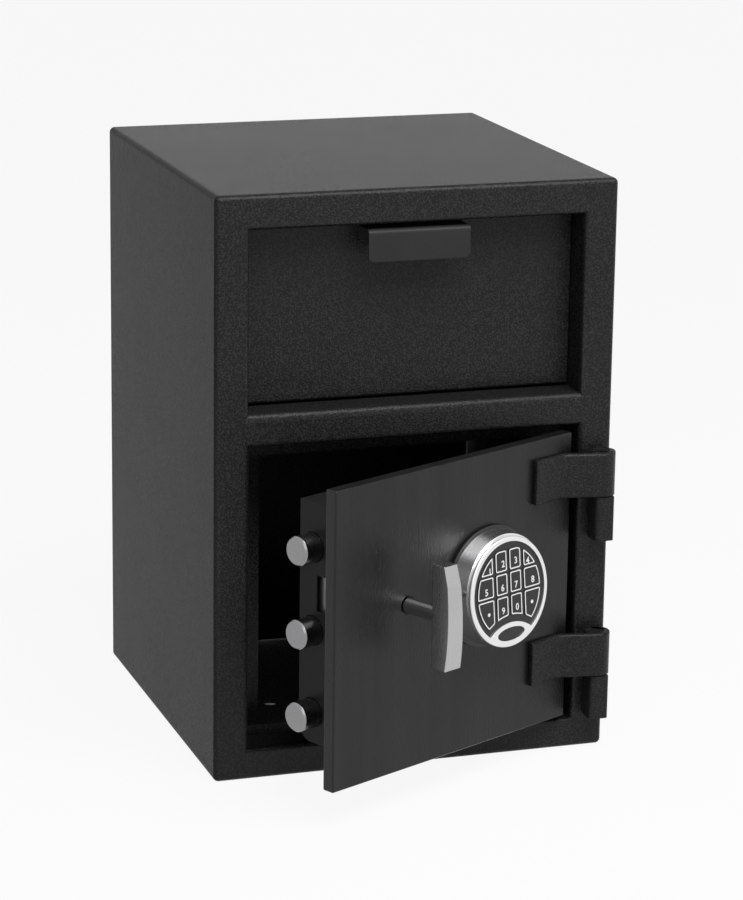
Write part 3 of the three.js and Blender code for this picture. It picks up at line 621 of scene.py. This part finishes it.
def buildDoor(values):
    plate = addBlock("doorLeaf", *values["x"], *values["y"], *values["z"])
    softenEdges(plate, values["edge"], 4)
    x, z = values["spindle"]
    narrow, wide, sheet = values["hole"]
    front, back = values["y"]
    cut = values["cut"]
    combine(plate, addDisc("drill", narrow, x, z, front - cut, back + cut))
    combine(plate, addDisc("drill", wide, x, z, front + sheet, back + cut))
    leadX, leadZ, leadRadius = values["lead"]
    combine(plate, addDisc("drill", leadRadius, leadX, leadZ, front - cut, back + cut))
    middle = at(x, front, z)
    inFront = alongLine(middle, (1,))
    reach = narrow / 1000 + 10 * tiny
    roundEdges(plate, lambda a, b: inFront(a, b) and all((end - middle).length < reach for end in (a, b)),
               values["holeEdge"], 3)
    applyPlace(plate, doorPose)
    return dress(plate, "door", "satin_paint", finishes["doorPaint"], "door_plate")


buildDoor(door)

coverEdge = 1.6
cover = copyNode("boltCover", "bolt_cover")
softenEdges(cover, coverEdge, 3, 40)
# The cover takes the lighter copy of the door's paint, with its painted light
dress(cover, "door", "satin_paint", finishes["coverLitPaint"], "bolt_cover")
print("door leaf, straps and cover made")

# Bolts: turned bars with a chamfered end
bolts = {"radius": 12.7, "tip": -131.8, "tail": -79.3, "y": 59, "z": (226.4, 154.6, 82.8),
         "chamfer": 1.5, "edge": 0.25}


def buildBolt(number, z, values):
    clearSelection()
    length = values["tail"] - values["tip"]
    bpy.ops.mesh.primitive_cylinder_add(
        vertices=96, radius=values["radius"] / 1000, depth=length / 1000, rotation=(0, math.pi / 2, 0),
        location=at((values["tip"] + values["tail"]) / 2, values["y"], z))
    bar = bpy.context.object
    bar.name = f"bolt{number}"
    applyPlace(bar)
    roundEdges(bar, alongLine(at(values["tip"], 0, 0), (0,)), values["chamfer"], 1)
    softenEdges(bar, values["edge"], 2, 30)
    applyPlace(bar, doorPose)
    return dress(bar, "bolts", "chrome", finishes["boltSteel"], f"bolt_{number}")


for number, z in enumerate(bolts["z"], start=1):
    buildBolt(number, z, bolts)

# Lever: turned spindle and its grip
lever = {"x": -53.6, "z": 176.4, "radius": 7, "front": -29, "back": 20.9, "edge": 0.6, "gripLimit": 24}


def buildSpindle(values):
    bar = addDisc("leverSpindle", values["radius"], values["x"], values["z"], values["front"], values["back"])
    softenEdges(bar, values["edge"], 3)
    applyPlace(bar, doorPose)
    return dress(bar, "lever", "chrome", finishes["chrome"], "lever_spindle")


def buildGrip(values):
    grip = copyNode("leverGrip", "lever_grip")
    softenEdges(grip, values["edge"], 2, values["gripLimit"])
    return dress(grip, "lever", "satin_metal", finishes["brushedMetal"], "lever_grip", angle=8)


buildSpindle(lever)
buildGrip(lever)

# Keypad housing on its flange, cut back along the leaning face
housing = {"flange": 53, "flangeY": (2.7, 5.7), "flangeEdge": 0.8, "base": 50.5, "neck": 47.4, "neckY": -20,
           "y": (-34, 2.4), "bore": 44.4, "faceBack": 4.3, "leadBore": (0, 8), "around": 80, "ahead": -60,
           "cut": 2, "overlap": 0.5}


def buildHousing(values):
    x, z = keypad["x"], keypad["z"]
    ring = addDisc("keypadFlange", values["flange"], x, z, *values["flangeY"], sides=160)
    leadX, leadZ, leadRadius = door["lead"]
    combine(ring, addDisc("bore", leadRadius, leadX, leadZ, *values["leadBore"], 24))
    softenEdges(ring, values["flangeEdge"], 3)
    applyPlace(ring, doorPose)
    dress(ring, "door", "black_plastic", finishes["blackPlastic"], "keypad_flange")

    front, back = values["y"]
    neckTop, cut, around = values["neckY"], values["cut"], values["around"]
    shell = addDisc("keypadHousing", values["base"], x, z, neckTop, back, 160, values["neck"])
    combine(shell, addDisc("neck", values["neck"], x, z, front, neckTop + values["overlap"], 160), "UNION")
    combine(shell, addDisc("bore", values["bore"], x, z, front - cut, back + cut, 160))
    applyPlace(shell, doorPose)
    lean = addBlock("lean", -around, around, values["ahead"], values["faceBack"], -around, around)
    applyPlace(lean, facePose)
    combine(shell, lean)
    return dress(shell, "door", "chrome", finishes["satinChrome"], "keypad_housing")


buildHousing(housing)

# Bezel: a round rim that widens at the bottom round an oval badge
bezel = {"radius": 47.4, "width": 4.2, "thickness": 4, "arc": (42, -68.5), "badge": (16.5, 5.6, -36.3),
         "shoulder": 1.3, "edge": 0.8, "sunk": 1.1, "badgeGap": 0.3, "badgeEdge": 0.5, "cut": 1}


def addOval(name, halfAcross, halfUp, z, y0, y1):
    oval = addDisc(name, halfAcross, 0, 0, y0, y1, 96)
    oval.scale.z = halfUp / halfAcross
    applyPlace(oval)
    oval.location.z = z / 1000
    applyPlace(oval)
    return oval


def buildBezel(values):
    thick, cut = values["thickness"], values["cut"]
    inner = values["radius"] - values["width"]
    arcRadius, arcZ = values["arc"]
    across, up, badgeZ = values["badge"]
    ring = addDisc("keypadBezel", values["radius"], 0, 0, 0, thick, 160)
    window = addDisc("window", inner, 0, 0, -cut, thick + cut, 160)
    combine(window, addDisc("arc", arcRadius, 0, arcZ, -2 * cut, thick + 2 * cut, 160))
    combine(ring, window)
    combine(ring, addOval("badgeHole", across, up, badgeZ, -cut, thick + cut))
    inFront = alongLine(at(0, 0, 0), (1,))
    rim = values["radius"] / 1000 - tiny
    roundEdges(ring, lambda a, b: inFront(a, b) and all(math.hypot(end.x, end.z) > rim for end in (a, b)),
               values["shoulder"], 6)
    softenEdges(ring, values["edge"], 3, 50)
    applyPlace(ring, facePose)
    dress(ring, "door", "satin_metal", finishes["satinNickel"], "keypad_bezel")
    gap = values["badgeGap"]
    badge = addOval("keypadBadge", across - gap, up - gap, badgeZ, values["sunk"], thick)
    softenEdges(badge, values["badgeEdge"], 3)
    applyPlace(badge, facePose)
    return dress(badge, "door", "black_plastic", finishes["blackPlastic"], "keypad_badge")


buildBezel(bezel)

# Keys: rounded caps with a pale printed border, and a digit or a dot
keys = {
    "width": 13.4, "height": 17.8, "gapAcross": 3.6, "gapUp": 2, "lift": 7.8, "field": 38.2,
    "arc": (48.2, -68.5), "front": 0.5, "edge": 0.3, "line": (0.1, 1.15), "corners": (1.6, 0.9),
    "proud": 0.06, "sunk": 0.02, "cut": 1, "sharp": 25, "flat": 0.2, "plumb": 1e-6,
    "digit": 5.6, "capShare": 0.7, "bold": 0.16, "raise": 0.03, "digitY": 0.01, "shift": (0.3, -1.1),
    "dot": 1.6,
    "rows": (("1", "2", "3", "4"), ("5", "6", "7", "8"), ("left", "9", "0", "right")),
    "marks": {"1": (-22.8, 22.3), "2": (-6.5, 26.1), "3": (9.1, 26.4), "4": (23.8, 23.2),
              "5": (-27.9, 5.5), "6": (-8.2, 5.6), "7": (8.4, 5.6), "8": (29.2, 5.9),
              "left": (-25.7, -14.9), "9": (-8.4, -14.2), "0": (8.8, -13.9), "right": (27.5, -14.2)},
}


# The outline of a key, shrunk by a margin, with its corners rounded
def addKeyBlank(column, row, margin, corner, y0, y1, values):
    side = -1 if column < 2 else 1
    inner = column in (1, 2)
    near = values["gapAcross"] / 2 + (0 if inner else values["width"] + values["gapAcross"]) + margin
    far = near + (values["width"] - 2 * margin if inner else values["field"])
    x0, x1 = sorted((side * near, side * far))
    top = values["lift"] + (1 - row) * (values["height"] + values["gapUp"]) + values["height"] / 2 - margin
    tall = values["height"] * (2 if row == 2 else 1) - 2 * margin
    cut = values["cut"]
    blank = addBlock("keyBlank", x0, x1, y0, y1, top - tall, top)
    combine(blank, addDisc("field", values["field"] - margin, 0, 0, y0 - cut, y1 + cut, 160), "INTERSECT")
    arcRadius, arcZ = values["arc"]
    combine(blank, addDisc("arc", arcRadius + margin, 0, arcZ, y0 - cut, y1 + cut, 160))
    pick(blank)
    bpy.ops.object.mode_set(mode="EDIT")
    bpy.ops.mesh.select_all(action="SELECT")
    bpy.ops.mesh.dissolve_limited(angle_limit=math.radians(values["flat"]))
    bpy.ops.object.mode_set(mode="OBJECT")

    def cornerShare(edge):
        a, b = (end.co for end in edge.verts)
        through = abs(a.x - b.x) < values["plumb"] and abs(a.z - b.z) < values["plumb"]
        return 1 if through and edge.calc_face_angle(0) > math.radians(values["sharp"]) else 0

    roundByShare(blank, cornerShare, corner, 4)
    return blank


def buildKey(label, column, row, values):
    key = copyNode(f"key{label.capitalize()}", f"key_{label}")
    softenEdges(key, values["edge"], 2, 40)
    dress(key, f"key_{label}_body", "key_plastic", finishes["keyPlastic"], f"key_{label}")

    ahead, behind = values["front"] - values["proud"], values["front"] + values["sunk"]
    cut = values["cut"]
    outside, inside = values["line"]
    outer, inner = values["corners"]
    border = addKeyBlank(column, row, outside, outer, ahead, behind, values)
    combine(border, addKeyBlank(column, row, inside, inner, ahead - cut, behind + cut, values))
    border.name = f"keyPrint{label.capitalize()}"

    x, z = values["marks"][label]
    if label.isdigit():
        right, up = values["shift"]
        clearSelection()
        bpy.ops.object.text_add(location=at(x + right, ahead + values["digitY"], z + up),
                                rotation=(math.pi / 2, 0, 0))
        text = bpy.context.object.data
        text.body = label
        text.align_x = "CENTER"
        text.align_y = "CENTER"
        text.size = values["digit"] / 1000 / values["capShare"]
        text.offset = values["bold"] / 1000
        text.resolution_u = 4
        text.extrude = values["raise"] / 1000
        bpy.ops.object.convert(target="MESH")
        mark = bpy.context.object
        applyPlace(mark)
    else:
        mark = addDisc("mark", values["dot"], x, z, ahead, behind, 32)
    clearSelection()
    mark.select_set(True)
    border.select_set(True)
    bpy.context.view_layer.objects.active = border
    bpy.ops.object.join()
    applyPlace(border, facePose)
    return dress(border, f"key_{label}_body", "key_plastic", finishes["whitePrint"])


for row, labels in enumerate(keys["rows"]):
    for column, label in enumerate(labels):
        buildKey(label, column, row, keys)
print("keypad made")

# CAD nodes that keep their own mesh
kept = {
    "hinge_pin_upper": "bodyPaint", "hinge_pin_lower": "bodyPaint",
    "hopper_pivot_left": "bodyPaint", "hopper_pivot_right": "bodyPaint",
    "bolt_guide": "bareSteel", "bolt_carriage": "bareSteel", "lever_cam": "bareSteel",
    "spindle_bushing": "hardSteel", "lock_bolt": "turnedBrass", "hard_plate": "hardSteel",
    "lock_case": "castZinc", "lock_lead": "wireRed", "keypad_face": "blackPlastic",
    "keypad_board": "circuitBoard", "keypad_battery": "blackPlastic",
}
for node, finish in kept.items():
    mesh = bpy.data.objects[node].data
    mesh.materials.clear()
    mesh.materials.append(finishes[finish])


# Lights: a soft one above and in front, and a weak one from the left
lights = {
    "keyLight": {"place": (290, -900, 1800), "aim": (60, -60, 200), "size": (1500, 1100), "power": 42},
    "fillLight": {"place": (-1600, -2300, 1500), "aim": (0, 0, 240), "size": (1600, 1600), "power": 8},
}


def addLight(name, values):
    bpy.ops.object.light_add(type="AREA", location=at(*values["place"]))
    lamp = bpy.context.object
    lamp.name = name
    lamp.data.shape = "RECTANGLE"
    lamp.data.size = values["size"][0] / 1000
    lamp.data.size_y = values["size"][1] / 1000
    lamp.data.energy = values["power"]
    aim = at(*values["aim"]) - at(*values["place"])
    lamp.rotation_euler = aim.to_track_quat("-Z", "Y").to_euler()


for name, values in lights.items():
    addLight(name, values)

# The sky is white where it is seen or mirrored, and gives the object a weak even light
sky = {"level": 0.2}


def addSky(values):
    world = bpy.data.worlds.new("studioSky")
    bpy.context.scene.world = world
    world.use_nodes = True
    studio = Shading(world.node_tree)
    background = studio.tree.nodes["Background"]
    background.inputs["Color"].default_value = (1, 1, 1, 1)
    studio.join(studio.maths("MAXIMUM", studio.seen(), values["level"]), background.inputs["Strength"])


addSky(sky)

# The floor is white where it is seen or mirrored, pale grey otherwise, and doesn't glow under the safe
ground = {"half": 12, "colour": (0.62, 0.62, 0.62), "share": 0.92, "under": 0.172, "roughness": 0.9}


def addGround(values):
    clearSelection()
    bpy.ops.mesh.primitive_plane_add(size=2 * values["half"], location=(0, 0, 0))
    floor = bpy.context.object
    floor.name = "paleFloor"
    pale = Finish("paleGround")
    pale.surface(colour=values["colour"], roughness=values["roughness"], specular=0.0)
    spot = pale.node("ShaderNodeTexCoord", output="Object")
    x = pale.node("ShaderNodeSeparateXYZ", None, {0: spot})
    y = Wire(pale, x.socket.node.outputs["Y"])
    beside = pale.maths("MAXIMUM", pale.maths("ABSOLUTE", x), pale.maths("ABSOLUTE", y))
    outside = pale.maths("GREATER_THAN", beside, values["under"])
    glow = pale.node("ShaderNodeEmission", None, {"Strength": 1.0})
    lit = pale.node("ShaderNodeMixShader", None, {
        0: pale.seen() * values["share"] * outside, 1: Wire(pale, pale.shader.outputs[0]), 2: glow})
    pale.join(lit, pale.tree.nodes["Material Output"].inputs["Surface"])
    floor.data.materials.append(pale.material)


addGround(ground)
bpy.context.scene.view_settings.view_transform = "Standard"
addCamera(camera)
print("lights, floor and camera placed")
